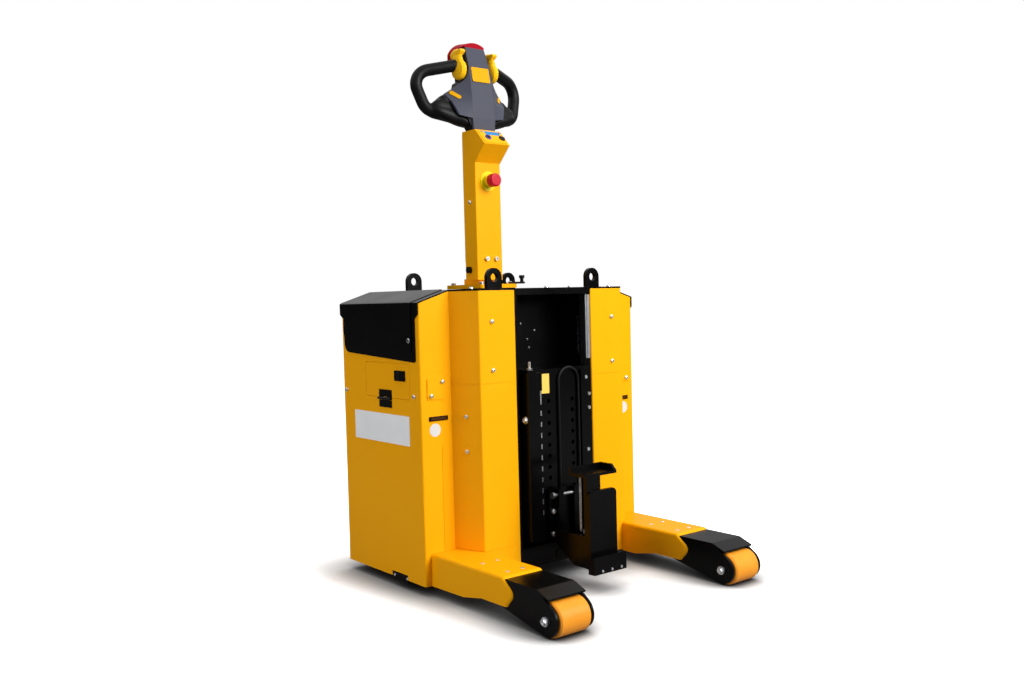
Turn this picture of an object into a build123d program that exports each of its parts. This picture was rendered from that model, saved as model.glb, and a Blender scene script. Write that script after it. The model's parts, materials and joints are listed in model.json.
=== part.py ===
"""Pedestrian electric tow tractor with an upright tiller.

Millimetres. X points forward to the load rollers, Y to the machine's left, Z up from the
floor. The origin lies on the floor, at the middle of the machine's length and width.
"""
import os

from build123d import *

# Plan of the body
pod_half_width = 400.0
pod_width = 99.0
pod_depth = 415.0
column_depth = 90.0
column_set_in = 35.0
column_inner = 141.0
recess_depth = 122.0
axle_reach = 378.0
sheet = 4.0
bend_radius = 5.0
seam_width = 1.4
seam_depth = 1.2
touch_gap = 0.3
cut_margin = 1.0

# Heights of the body
pod_floor = 28.0
column_foot = 34.0
centre_floor = 45.0
deck_top = 827.0
deck_plate = 5.0
deck_lip = 14.0
cover_drop = 31.0
column_seam_height = 570.0
pod_seam_foot = 118.0
pod_seam_head = 404.0
pod_seam_edge = 64.0

# Load rollers, their brackets and legs
roller_radius = 42.5
roller_width = 96.0
roller_chamfer = 4.0
roller_groove = 5.0
roller_ring_outer = 32.0
roller_ring_inner = 20.5
roller_bolt_radius = 10.0
running_gap = 0.05
shoulder_wall = 6.0
bolt_head_radius = 12.0
bolt_head_height = 6.0
leg_inset = 19.0
leg_width = 130.0
leg_top = 116.0
leg_sheet = 5.0
leg_corner = 9.0
leg_reach = 219.0
leg_bottom = 44.0
leg_root_length = 55.0
leg_root_rise = 2.0
leg_kick_length = 133.0
leg_foot_reach = 16.0
leg_bulge = 47.0
leg_bulge_height = 35.0
leg_bulge_radius = 18.0
leg_neck_radius = 12.0
bracket_gap = 1.0
bracket_cheek = 6.0
bracket_start = 60.0
bracket_tail = 40.0
bracket_keel_length = 200.0
bracket_keel_drop = 4.0
bracket_bend = 345.0
bracket_end_radius = 38.0
web_reach = 42.0
web_drop = 16.0
web_sheet = 4.0

# Covers, flaps and fittings of the side pods
cover_sheet = 4.0
cover_bend = 1.5
skirt_rear_drop = 142.0
skirt_front_drop = 163.0
skirt_inset = 19.0
skirt_front_inset = 17.0
ear_height = 32.0
ear_slope = 14.0
skirt_rear_corner = 30.0
skirt_front_corner = 8.0
lid_sheet = 2.0
lid_set_back = 30.0
lid_rise = 29.0
flap_front = 53.0
flap_width = 230.0
flap_top_gap = 5.0
flap_height = 97.0
flap_gap = 1.0
flap_sheet = 3.0
flap_corner = 6.0
flap_stop = 3.0
flap_stop_width = 8.0
hinge_front = 145.0
hinge_width = 64.0
hinge_leaf = 22.0
hinge_sheet = 3.0
hinge_clear = 2.0
knuckle_radius = 4.0
knuckle_gap = 0.4
latch_front = 73.0
latch_width = 50.0
latch_height = 29.0
latch_rise = 49.0
latch_proud = 5.0
latch_corner = 4.0
skid_front = 90.0
skid_length = 80.0
skid_depth = 28.0
skid_bottom = 20.0
skid_top = 42.0
battery_end_gap = 13.5
battery_height = 300.0
battery_gap = 5.0
service_plate_width = 53.0
service_plate_height = 56.0
service_plate_foot = 532.0
service_plate_edge = 21.0
pull_width = 60.0
pull_height = 12.0
pull_foot = 474.0
pull_edge = 25.0
fitting_proud = 3.0

# Lifting eyes on the deck
eye_half_track = 184.0
eye_front_back = 40.0
eye_spacing = 400.0
eye_radius = 26.0
eye_bore_radius = 12.0
eye_rise = 31.0
eye_sheet = 12.0

# Lifting carriage with its pin holes, covers and cable
carriage_half_width = 119.0
carriage_wall = 6.0
carriage_forward = 19.0
carriage_plate = 12.0
carriage_foot = 118.0
carriage_height = 473.0
carriage_back_gap = 12.0
carriage_cap = 8.0
pin_hole_radius = 6.0
pin_hole_pitch = 31.0
pin_hole_count = 11
pin_hole_drop = 82.3
pin_hole_side = 44.2
strip_thick = 4.0
strip_inner = 74.0
strip_width = 14.0
mast_cover_sheet = 3.0
mast_cover_inner = 73.0
mast_cover_width = 46.0
mast_cover_foot = 6.0
notch_depth = 7.5
notch_height = 14.0
first_notch_height = 39.0
mast_bar_width = 16.0
cable_radius = 4.0
cable_bend = 37.0
cable_middle = 27.0
cable_drop = 28.0
liner = 2.0
liner_return = 8.0
rail_width = 33.0
rail_front_gap = 7.0
rail_thick = 5.0
rail_foot = 110.0
rail_head_gap = 8.0
shoe_height = 60.0
shoe_margin = 40.0
shoe_front_gap = 4.0

# Coupling on the carriage
coupling_reach = 185.0
pad_thick = 10.0
pad_half_width = 58.0
pad_height = 144.0
arm_plate = 10.0
arm_half_width = 48.0
gusset_root = 30.0
gusset_foot = 62.0
gusset_head = 150.0
rib_depth = 18.0
rib_width = 18.0
rib_inner = 20.0
rib_rise = 14.0
arm_foot = 60.0
post_depth = 14.0
post_width = 50.0
post_height = 250.0
coupling_plate_thick = 10.0
coupling_plate_half = 50.0
coupling_plate_top = 275.0
coupling_plate_corner = 14.0
nose_half_width = 60.0
nose_depth = 24.0
nose_bottom = 53.0
nose_top = 101.0
nose_slope = 19.0
shelf_depth = 62.0
shelf_half_width = 60.0
shelf_thick = 8.0
shelf_lip = 16.0
adjust_pin_radius = 5.0
adjust_pin_drop = 17.0
adjust_pin_proud = 12.0
adjust_pin_head = 8.0
adjust_pin_collar = 4.0

# Drive unit under the deck
steer_back = 11.5
drive_wheel_radius = 100.0
drive_wheel_width = 76.0
drive_tyre_thick = 18.0
drive_axle_radius = 15.0
hub_dish_outer = 68.0
hub_dish_inner = 30.0
hub_dish_depth = 14.0
wheel_side_gap = 8.0
fork_cheek = 12.0
fork_half_length = 40.0
fork_top_gap = 14.0
fork_plate = 12.0
fork_disc_radius = 112.0
neck_radius = 60.0
turntable_hole = 76.0
turntable_plate = 10.0
ring_outer = 110.0
ring_height = 10.0
floor_plate = 6.0
floor_opening = 150.0
frame_web_half = 180.0
frame_web_thick = 12.0
frame_rear_gap = 11.0
frame_front_gap = 38.0
beam_depth = 50.0
beam_top = 100.0
boss_radius = 14.0
boss_height = 66.0
boss_proud = 3.0
motor_flange_radius = 95.0
motor_flange = 12.0
motor_radius = 70.0
motor_height = 160.0
motor_lift = 4.0
column_tube_radius = 38.0
column_tube_wall = 6.0
column_tube_floor = 10.0
deck_hole_radius = 46.0

# Tiller base, arm and control box
base_plate_thick = 12.0
base_plate_lift = 5.0
base_plate_front = 78.0
base_plate_back = 105.0
base_plate_half = 70.0
base_plate_corner = 8.0
pivot_back = 5.0
pivot_rise = 45.0
pivot_radius = 8.0
pivot_clearance = 0.2
pivot_knob = 10.0
pivot_knob_collar = 2.0
lug_half_width = 30.0
lug_half_length = 25.0
lug_tail = 33.0
lug_tail_height = 18.0
arm_half = 48.0
arm_front = 38.0
arm_back = 23.0
arm_sheet = 3.0
arm_corner = 3.0
arm_drop = 31.0
shoulder_rise = 324.0
box_nose_forward = 51.0
nose_rise = 374.0
arm_rise = 422.0
box_top_forward = 4.0
arm_cover_rise = 22.0
arm_cover_thick = 4.0
arm_cover_inset = 2.0
arm_cover_corner = 4.0
stop_rise = 269.0
stop_disc_radius = 30.0
stop_disc_thick = 2.0
stop_collar_radius = 16.0
stop_collar_length = 13.0
stop_stem_radius = 11.0
stop_stem_length = 4.0
stop_cap_radius = 20.0
stop_cap_length = 24.0
stop_cap_rim = 5.0
plunger_tab_length = 16.0
plunger_tab_root = 22.0
plunger_tab_thick = 6.0
plunger_tab_margin = 6.0
plunger_radius = 5.5
plunger_height = 26.0
plunger_knob_radius = 8.5
plunger_knob_height = 9.0
plunger_out = 93.0

# Tiller head, its heights measured from the top of the control box
head_height = 258.0
head_reach = 200.0
face_plateau = 40.0
face_wing = 110.0
face_thick = 8.0
face_skin = 2.5
face_corner = 5.0
pad_half = 33.0
pad_low = 149.0
pad_high = 194.0
pad_corner = 4.0
wing_button_side = 83.0
wing_button_rise = 107.0
wing_button_length = 32.0
wing_button_width = 12.0
wing_button_turn = 42.0
housing_corner = 8.0
grip_radius = 17.5
grip_radii = [46.0, 42.0]
boot_thick = 36.0
boot_corner = 17.5
thumb_radius = 28.0
thumb_width = 18.0
thumb_side = 52.0
thumb_ahead = -12.0
thumb_rise = 185.0
thumb_corner = 3.0

# Places worked out from the sizes above
pod_inner = pod_half_width - pod_width
column_outer = pod_inner - column_set_in
leg_centre = pod_half_width - leg_inset - leg_width / 2
body_length = pod_depth + column_depth + axle_reach + roller_radius
x_rear = -body_length / 2
x_pod = x_rear + pod_depth
x_col = x_pod + column_depth
x_back = x_col - recess_depth
x_axle = x_col + axle_reach
x_leg_end = x_col + leg_reach
x_steer = (x_rear + x_back) / 2 - steer_back
x_pivot = x_steer - pivot_back
x_mast = x_col + carriage_forward
x_pad = x_mast + pad_thick
z_deck_under = deck_top - deck_plate
z_bend = deck_top - cover_drop
z_flap = z_bend - skirt_front_drop - flap_top_gap - flap_height
z_carriage = carriage_foot + carriage_height
z_pad = carriage_foot + pad_height
z_post = gusset_foot + post_height
z_base = deck_top + base_plate_lift + base_plate_thick
z_pivot = z_base + pivot_rise
z_arm_foot = z_pivot - arm_drop
z_arm = z_pivot + arm_rise
z_stop = z_pivot + stop_rise
z_head = z_arm + head_height

# Sections of the face, which leans back as it rises: height, how far ahead of the pivot its
# middle lies, and how far its edges fall back
face_sections = [(0.0, 28.0, 12.0), (39.0, 28.0, 17.0), (83.0, 25.0, 28.0), (110.0, 22.0, 49.0),
                 (149.0, 17.5, 60.0), (194.0, 9.0, 60.0), (head_height, -13.0, 60.0)]
# Half of the face's outline: half width, height
face_outline = [(40.0, 0.0), (42.0, 36.0), (83.0, 44.0), (97.0, 79.0), (109.0, 110.0),
                (74.0, 134.0), (48.0, 160.0), (40.0, 190.0), (36.0, head_height)]
# Sections of the housing: height, front and back ahead of the pivot, half width
housing_sections = [(0.0, 24.0, -20.0, 38.0), (41.0, 20.0, -30.0, 56.0), (75.0, 20.0, -40.0, 76.0),
                    (110.0, 16.0, -50.0, 76.0), (148.0, 10.0, -55.0, 62.0),
                    (155.0, 9.0, -56.0, 50.0), (209.0, 2.0, -60.0, 50.0),
                    (head_height, -16.0, -60.0, 45.0)]
# Corners of one loop grip: ahead of the pivot, out to the side, height
grip_corners = [(-16.0, 56.0, 202.0), (-68.0, 201.0, 170.0), (-44.0, 166.0, 61.0),
                (1.0, 40.0, 28.0)]
# Sections of the boot round the lower end of a grip: out, ahead of the pivot, middle, height
boot_sections = [(149.0, -37.5, 58.0, 42.0), (134.0, -35.5, 62.5, 56.0), (118.0, -33.0, 68.0, 72.0),
                 (98.0, -29.0, 71.0, 86.0), (58.0, -26.0, 70.0, 86.0)]
# Finger tip of a thumb switch, ahead of and above the middle of its boss
thumb_outline = [(-22.0, 14.0), (-10.0, 40.0), (-10.0, 58.0), (19.0, 60.0), (24.0, 54.0),
                 (16.0, 47.0), (4.0, 42.0), (8.0, 24.0), (20.0, 16.0)]
# Sections of the red cap: ahead of the pivot, half width, foot, height of its sides, crown
belly_sections = [(-14.0, 37.0, 255.0, 264.0, 274.0), (-66.0, 65.0, 219.0, 240.0, 281.0)]


def box(x, y, z):
    """A block from pairs of limits along X, Y and Z."""
    centre = [(low + high) / 2 for low, high in (x, y, z)]
    size = [high - low for low, high in (x, y, z)]
    return Pos(*centre) * Box(*size)


def prism_xz(points, y):
    """An outline in X and Z, carried from the first to the second Y."""
    face = make_face(Polyline(*points, close=True))
    return Pos(0, y[1], 0) * extrude(Plane.XZ * face, amount=y[1] - y[0])


def prism_xy(points, z):
    """An outline in X and Y, carried from the first to the second Z."""
    face = make_face(Polyline(*points, close=True))
    return Pos(0, 0, z[0]) * extrude(face, amount=z[1] - z[0])


def prism_yz(points, x):
    """An outline in Y and Z, carried from the first to the second X."""
    face = make_face(Polyline(*points, close=True))
    return Pos(x[0], 0, 0) * extrude(Plane.YZ * face, amount=x[1] - x[0])


def rod_x(y, z, x, radius):
    return Pos((x[0] + x[1]) / 2, y, z) * Rot(0, 90, 0) * Cylinder(radius, x[1] - x[0])


def rod_y(x, z, y, radius):
    return Pos(x, (y[0] + y[1]) / 2, z) * Rot(90, 0, 0) * Cylinder(radius, y[1] - y[0])


def rod_z(x, y, z, radius):
    return Pos(x, y, (z[0] + z[1]) / 2) * Cylinder(radius, z[1] - z[0])


def other_side(shape):
    return mirror(shape, about=Plane.XZ)


def save(name, *shapes):
    solids = []
    for shape in shapes:
        solids += shape.solids()
    export_step(Compound(solids), f"parts/{name}.step")


def body_plan(inset=0.0):
    """Plan of one front column on the right, with its two front bends rounded."""
    corners = [
        (x_back, -pod_inner),
        (x_pod, -pod_inner),
        (x_col, -column_outer),
        (x_col, -column_inner),
        (x_back, -column_inner),
    ]
    face = make_face(Polyline(*corners, close=True))
    if inset:
        return offset(face, amount=-inset, kind=Kind.INTERSECTION)
    return fillet(face.vertices().group_by(Axis.X)[-1], bend_radius)


def column():
    """A box section of folded sheet with an oblique outer face and two seams round it."""
    height = z_deck_under - column_foot
    shell = extrude(body_plan(), amount=height) - extrude(body_plan(sheet), amount=height)
    solid = Pos(0, 0, column_foot) * shell
    seam = extrude(body_plan(), amount=seam_width) - extrude(body_plan(seam_depth), amount=seam_width)
    for seam_foot in (leg_top, column_seam_height):
        solid -= Pos(0, 0, seam_foot) * seam
    return solid


def leg():
    """An inverted channel welded to the front of the body, with a bulged end."""
    outer = leg_centre + leg_width / 2
    inner = leg_centre - leg_width / 2
    bulge = (x_leg_end + leg_bulge, leg_bottom + leg_bulge_height)
    side = [
        (x_pod, pod_floor),
        (x_col + leg_root_length, pod_floor + leg_root_rise),
        (x_col + leg_kick_length, leg_bottom),
        (x_leg_end + leg_foot_reach, leg_bottom),
        bulge,
        (x_leg_end, leg_top),
        (x_pod, leg_top),
    ]
    solid = prism_xz(side, (-outer, -inner))
    ends = solid.edges().filter_by(Axis.Y)
    solid = fillet(ends.sort_by(Axis.X)[-1], leg_bulge_radius)
    neck = solid.edges().filter_by(Axis.Y).group_by(Axis.Z)[-1].sort_by(Axis.X)[-1]
    solid = fillet(neck, leg_neck_radius)
    top_edges = solid.edges().filter_by(Axis.X).group_by(Axis.Z)[-1]
    solid = fillet(top_edges, leg_corner)
    hollow = box((x_pod - cut_margin, bulge[0] + cut_margin),
                 (-outer + leg_sheet, -inner - leg_sheet), (0, leg_top - leg_sheet))
    body = extrude(body_plan(), amount=leg_top + cut_margin)
    return solid - hollow - body


def roller_bracket():
    """A channel under the leg, with a web bent down over the roller, clear of the cheeks."""
    half = leg_width / 2 - leg_sheet - bracket_gap
    top = leg_top - leg_sheet
    x_start = x_col + bracket_start
    x_bend = x_col + bracket_bend
    z_axle = roller_radius
    end = Pos(x_axle, z_axle) * Circle(bracket_end_radius)
    back = Polyline((x_bend, top), (x_start, top), (x_start, top - bracket_tail),
                    (x_start + bracket_keel_length, leg_bottom - bracket_keel_drop))
    face = make_hull(end.edges() + back.edges())
    solid = Pos(0, half, 0) * extrude(Plane.XZ * face, amount=2 * half)
    x_web = x_bend + web_reach
    z_web = top - web_drop
    x_far = x_axle + 2 * bracket_end_radius
    inside = prism_xz([
        (x_start - cut_margin, top - bracket_cheek),
        (x_bend, top - bracket_cheek),
        (x_bend, top + cut_margin),
        (x_far, top + cut_margin),
        (x_far, -cut_margin),
        (x_start - cut_margin, -cut_margin),
    ], (-half + bracket_cheek, half - bracket_cheek))
    web = prism_xz([
        (x_bend - bracket_cheek, top),
        (x_bend, top),
        (x_web, z_web),
        (x_web, z_web - web_sheet),
        (x_bend - bracket_cheek, top - web_sheet),
    ], (-half, half))
    bore = rod_y(x_axle, z_axle, (-half - cut_margin, half + cut_margin),
                 roller_bolt_radius + running_gap)
    return Pos(0, -leg_centre, 0) * (solid - inside - bore + web)


def roller_axle():
    """A bolt through both cheeks, with a shoulder each side of the roller."""
    half = leg_width / 2 - leg_sheet - bracket_gap
    shoulder = (roller_width / 2 + touch_gap, half - bracket_cheek)
    axle = rod_y(x_axle, roller_radius, (-half, half), roller_bolt_radius)
    for side in (-1, 1):
        reach = sorted((side * shoulder[0], side * shoulder[1]))
        axle += rod_y(x_axle, roller_radius, reach, roller_bolt_radius + shoulder_wall)
        head = sorted((side * half, side * (half + bolt_head_height)))
        axle += rod_y(x_axle, roller_radius, head, bolt_head_radius)
    return Pos(0, -leg_centre, 0) * axle


def roller():
    """A polyurethane roller with chamfered rims and a shallow ring in each face."""
    half = roller_width / 2
    solid = chamfer(Cylinder(roller_radius, roller_width).edges(), roller_chamfer)
    ring = Cylinder(roller_ring_outer, roller_groove) - Cylinder(roller_ring_inner, roller_groove)
    for side in (-1, 1):
        solid -= Pos(0, 0, side * (half - roller_groove / 2)) * ring
    solid -= Cylinder(roller_bolt_radius + running_gap, roller_width)
    return Pos(x_axle, -leg_centre, roller_radius) * Rot(90, 0, 0) * solid


def flap_block(grown, y):
    """The outline of the flap, grown all round, as a block from the first to the second Y."""
    sides = RectangleRounded(flap_width + 2 * grown, flap_height + 2 * grown, flap_corner + grown)
    place = Pos(x_pod - flap_front - flap_width / 2, y[1], z_flap + flap_height / 2)
    return place * extrude(Plane.XZ * sides, amount=y[1] - y[0])


def pod():
    """A folded sheet case, open at the top under its cover, with a stop round the flap opening."""
    y = (-pod_half_width, -pod_inner)
    roof = [(y[0], z_bend - cover_sheet), (y[1], deck_top - cover_sheet)]
    solid = prism_yz([(y[0], pod_floor), (y[1], pod_floor), roof[1], roof[0]], (x_rear, x_pod))
    solid = fillet(solid.edges().filter_by(Axis.Z).group_by(Axis.Y)[0], bend_radius)
    inside = box((x_rear + sheet, x_pod - sheet), (y[0] + sheet, y[1] - sheet),
                 (pod_floor + sheet, deck_top + cut_margin))
    opening = flap_block(flap_gap, (y[0] - cut_margin, y[0] + sheet))
    stop = (y[0] + sheet, y[0] + sheet + flap_stop)
    rim = flap_block(flap_stop_width, stop) - flap_block(-flap_corner / 2, stop)
    notch = box((x_pod - skid_front - skid_length, x_pod - skid_front),
                (y[0] - cut_margin, y[0] + skid_depth), (pod_floor - cut_margin, skid_top))
    y_seam = y[0] + pod_seam_edge
    seam = box((x_pod - seam_depth, x_pod + cut_margin), (y_seam, y_seam + seam_width),
               (pod_seam_foot, pod_seam_head))
    return solid - inside - opening - notch - seam + rim


def skirt_sheet(x_front, rise, front_inset, y):
    """A skirt with an ear at its rear, and at its front when inset, and a foot that slopes down."""
    z_ear = z_bend - ear_height
    points = [
        (x_rear, z_bend - cover_sheet),
        (x_rear, z_ear),
        (x_rear + skirt_inset, z_ear - ear_slope),
        (x_rear + skirt_inset, z_bend - skirt_rear_drop + rise),
        (x_front - front_inset, z_bend - skirt_front_drop + rise),
    ]
    if front_inset:
        points += [(x_front - front_inset, z_ear - ear_slope), (x_front, z_ear)]
    points.append((x_front, z_bend - cover_sheet))
    face = make_face(Polyline(*points, close=True))
    face = fillet(face.vertices().sort_by(Axis.Y)[1], skirt_rear_corner)
    face = fillet(face.vertices().sort_by(Axis.Y)[0], skirt_front_corner)
    return Pos(0, y[1], 0) * extrude(Plane.XZ * face, amount=y[1] - y[0])


def pod_cover():
    """A sloped lid whose skirt hangs over the side of the pod, under a second, shorter skin."""
    y = (-pod_half_width, -pod_inner)
    y_skirt = y[0] - cover_sheet
    lid = prism_yz([
        (y_skirt, z_bend - cover_sheet),
        (y[0], z_bend - cover_sheet),
        (y[1], deck_top - cover_sheet),
        (y[1], deck_top),
        (y[0], z_bend),
        (y_skirt, z_bend - cover_bend),
    ], (x_rear, x_pod))
    x_lid = x_pod - lid_set_back
    skin = prism_yz([
        (y_skirt - lid_sheet, z_bend - cover_sheet),
        (y_skirt, z_bend - cover_sheet),
        (y_skirt, z_bend - cover_bend),
        (y[0], z_bend),
        (y[1], deck_top),
        (y[1], deck_top + lid_sheet),
        (y[0], z_bend + lid_sheet),
        (y_skirt - lid_sheet, z_bend - cover_bend),
    ], (x_rear, x_lid))
    skirts = skirt_sheet(x_pod, 0, skirt_front_inset, (y_skirt, y[0]))
    skirts += skirt_sheet(x_lid, lid_rise, 0, (y_skirt - lid_sheet, y_skirt))
    return lid + skin + skirts


def flap():
    return flap_block(0, (-pod_half_width, -pod_half_width + flap_sheet))


def knuckle(x):
    y = -pod_half_width - knuckle_radius
    return rod_x(y, z_flap - hinge_sheet, x, knuckle_radius)


def hinge_thirds():
    x_left = x_pod - hinge_front - hinge_width
    third = hinge_width / 3
    return [(x_left + n * third + knuckle_gap / 2, x_left + (n + 1) * third - knuckle_gap / 2)
            for n in range(3)]


def flap_fittings():
    """The hinge leaf on the flap, with its two outer knuckles, and the square latch."""
    y = -pod_half_width
    ends = hinge_thirds()
    leaf = box((ends[0][0], ends[2][1]), (y - hinge_sheet, y),
               (z_flap + hinge_clear, z_flap + hinge_leaf))
    for span in (ends[0], ends[2]):
        tab = box(span, (y - hinge_sheet, y - touch_gap),
                  (z_flap - hinge_sheet, z_flap + hinge_clear))
        leaf += tab + knuckle(span)
    latch = box((x_pod - latch_front - latch_width, x_pod - latch_front), (y - latch_proud, y),
                (z_flap + latch_rise, z_flap + latch_rise + latch_height))
    return leaf, fillet(latch.edges().filter_by(Axis.Y), latch_corner)


def flap_hinge():
    """The hinge leaf on the pod, with its middle knuckle."""
    y = -pod_half_width
    ends = hinge_thirds()
    foot = z_flap - 2 * hinge_sheet
    leaf = box((ends[0][0], ends[2][1]), (y - hinge_sheet, y), (foot - hinge_leaf, foot - hinge_clear))
    tab = box(ends[1], (y - hinge_sheet, y), (foot - hinge_clear, z_flap - hinge_sheet))
    return leaf + tab + knuckle(ends[1])


def lifting_eye(x, y):
    z_bore = deck_top + eye_rise
    base = box((x - eye_sheet / 2, x + eye_sheet / 2), (y - eye_radius, y + eye_radius),
               (deck_top, z_bore))
    ends = (x - eye_sheet / 2, x + eye_sheet / 2)
    return base + rod_x(y, z_bore, ends, eye_radius) - rod_x(y, z_bore, ends, eye_bore_radius)


def base_frame():
    """Floor, two webs and the turntable plate, welded, with the beam at the front."""
    z_table = turntable_foot()
    floor = box((x_rear + sheet, x_back), (-pod_inner, pod_inner),
                (centre_floor, centre_floor + floor_plate))
    floor += box((x_back, x_col - beam_depth), (-column_inner, column_inner),
                 (centre_floor, centre_floor + floor_plate))
    floor += box((x_col - beam_depth, x_col), (-column_inner, column_inner),
                 (centre_floor, beam_top))
    floor += rod_x(0, boss_height, (x_col, x_col + boss_proud), boss_radius)
    floor -= rod_z(x_steer, 0, (0, 2 * centre_floor), floor_opening)
    ends = (x_rear + sheet + frame_rear_gap, x_back - frame_front_gap)
    for side in (-1, 1):
        y = sorted((side * frame_web_half, side * (frame_web_half + frame_web_thick)))
        floor += box(ends, y, (centre_floor, z_table))
    table = box(ends, (-pod_inner, pod_inner), (z_table, z_table + turntable_plate))
    table -= rod_z(x_steer, 0, (z_table - cut_margin, z_table + turntable_plate + cut_margin),
                   turntable_hole)
    return floor + table


def fork_top():
    return 2 * drive_wheel_radius + fork_top_gap + fork_plate


def turntable_foot():
    return fork_top() + touch_gap + ring_height


def slewing_ring():
    low = fork_top() + touch_gap
    ring = rod_z(x_steer, 0, (low, low + ring_height), ring_outer)
    return ring - rod_z(x_steer, 0, (low, low + ring_height), turntable_hole)


def drive_fork():
    """Two cheeks under a round plate, with a neck that passes through the turntable."""
    z_top = fork_top()
    inner = drive_wheel_width / 2 + wheel_side_gap
    z_axle = drive_wheel_radius
    fork = rod_z(x_steer, 0, (z_top - fork_plate, z_top), fork_disc_radius)
    fork += rod_z(x_steer, 0, (z_top, motor_foot()), neck_radius)
    for side in (-1, 1):
        y = sorted((side * inner, side * (inner + fork_cheek)))
        fork += box((x_steer - fork_half_length, x_steer + fork_half_length), y,
                    (z_axle, z_top - fork_plate))
        fork += rod_y(x_steer, z_axle, y, fork_half_length)
    reach = inner + fork_cheek + cut_margin
    return fork - rod_y(x_steer, z_axle, (-reach, reach), drive_axle_radius + running_gap)


def motor_foot():
    return turntable_foot() + turntable_plate + motor_lift


def drive_motor():
    low = motor_foot()
    flange = rod_z(x_steer, 0, (low, low + motor_flange), motor_flange_radius)
    can = rod_z(x_steer, 0, (low + motor_flange, low + motor_flange + motor_height), motor_radius)
    return flange + can


def drive_hub():
    half = drive_wheel_width / 2
    inner = half + wheel_side_gap
    hub = Cylinder(drive_wheel_radius - drive_tyre_thick, drive_wheel_width)
    dish = Cylinder(hub_dish_outer, hub_dish_depth) - Cylinder(hub_dish_inner, hub_dish_depth)
    for side in (-1, 1):
        hub -= Pos(0, 0, side * (half - hub_dish_depth / 2)) * dish
    hub += Cylinder(drive_axle_radius, 2 * (inner + fork_cheek))
    return Pos(x_steer, 0, drive_wheel_radius) * Rot(90, 0, 0) * hub


def drive_tyre():
    tyre = Cylinder(drive_wheel_radius, drive_wheel_width)
    tyre = chamfer(tyre.edges(), roller_chamfer)
    tyre -= Cylinder(drive_wheel_radius - drive_tyre_thick, drive_wheel_width)
    return Pos(x_steer, 0, drive_wheel_radius) * Rot(90, 0, 0) * tyre


def steering_column():
    """A tube from the motor up through the deck to the plate that carries the tiller."""
    low = motor_foot() + motor_flange + motor_height
    z_plate = deck_top + base_plate_lift
    tube = rod_z(x_steer, 0, (low, z_plate), column_tube_radius)
    tube -= rod_z(x_steer, 0, (low + column_tube_floor, z_plate),
                  column_tube_radius - column_tube_wall)
    plate = box((x_steer - base_plate_back, x_steer + base_plate_front),
                (-base_plate_half, base_plate_half), (z_plate, z_plate + base_plate_thick))
    upright = plate.edges().filter_by(Axis.Z)
    return tube + fillet(upright, base_plate_corner)


def tiller_bracket():
    """A lug that carries the pivot, with a lower tail behind it."""
    lug = box((x_pivot - lug_half_length, x_pivot + lug_half_length),
              (-lug_half_width, lug_half_width), (z_base, z_pivot))
    lug += rod_y(x_pivot, z_pivot, (-lug_half_width, lug_half_width), lug_half_length)
    lug += box((x_pivot - lug_half_length - lug_tail, x_pivot - lug_half_length),
               (-lug_half_width, lug_half_width), (z_base, z_base + lug_tail_height))
    reach = (-lug_half_width - cut_margin, lug_half_width + cut_margin)
    return lug - rod_y(x_pivot, z_pivot, reach, pivot_radius + running_gap)


def index_plunger():
    """A spring plunger with a pull knob on a small tab at the corner of the tiller's plate."""
    x = x_steer + base_plate_front
    z_tab = z_base + plunger_tab_thick
    z_top = z_base + plunger_height
    x_middle = x - plunger_tab_length / 2
    y_tab = (base_plate_half - plunger_tab_root, plunger_out + plunger_tab_margin)
    plunger = box((x - plunger_tab_length, x), y_tab, (z_base, z_tab))
    plunger += rod_z(x_middle, plunger_out, (z_tab, z_top), plunger_radius)
    return plunger + rod_z(x_middle, plunger_out, (z_top - plunger_knob_height, z_top),
                           plunger_knob_radius)


def tiller_arm():
    """A folded channel with a control box at its top, open at the back below its cover."""
    front = x_pivot + arm_front
    back = x_pivot - arm_back
    z_shoulder = z_pivot + shoulder_rise
    z_nose = z_pivot + nose_rise
    t = arm_sheet
    outline = [
        (back, z_arm_foot),
        (front, z_arm_foot),
        (front, z_shoulder),
        (front + box_nose_forward, z_nose),
        (front + box_top_forward, z_arm),
        (back, z_arm),
    ]
    hollow = [
        (back - cut_margin, z_arm_foot - cut_margin),
        (front - t, z_arm_foot - cut_margin),
        (front - t, z_shoulder + t / 2),
        (front + box_nose_forward - 1.5 * t, z_nose),
        (front + box_top_forward - t, z_arm - t),
        (back - cut_margin, z_arm - t),
    ]
    solid = prism_xz(outline, (-arm_half, arm_half))
    upright = solid.edges().filter_by(Axis.Z).group_by(Axis.X)[-1]
    solid = fillet(upright, arm_corner)
    inside = prism_xz(hollow, (-arm_half + t, arm_half - t))
    reach = (-arm_half - cut_margin, arm_half + cut_margin)
    return solid - inside - rod_y(x_pivot, z_pivot, reach, pivot_radius + pivot_clearance)


def arm_cover():
    back = x_pivot - arm_back
    half = arm_half - arm_cover_inset
    cover = box((back - arm_cover_thick, back), (-half, half),
                (z_pivot + arm_cover_rise, z_arm - 2 * arm_cover_inset))
    return fillet(cover.edges().filter_by(Axis.X), arm_cover_corner)


def pivot_pin():
    pin = rod_y(x_pivot, z_pivot, (-arm_half, arm_half), pivot_radius)
    for side in (-1, 1):
        ends = sorted((side * arm_half, side * (arm_half + pivot_knob)))
        pin += rod_y(x_pivot, z_pivot, ends, pivot_radius + pivot_knob_collar)
    return pin


def stop_disc():
    """A plain round backing plate with the collar that carries the stop button."""
    front = x_pivot + arm_front
    face = front + stop_disc_thick
    disc = rod_x(0, z_stop, (front, face), stop_disc_radius)
    return disc + rod_x(0, z_stop, (face, face + stop_collar_length), stop_collar_radius)


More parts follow.
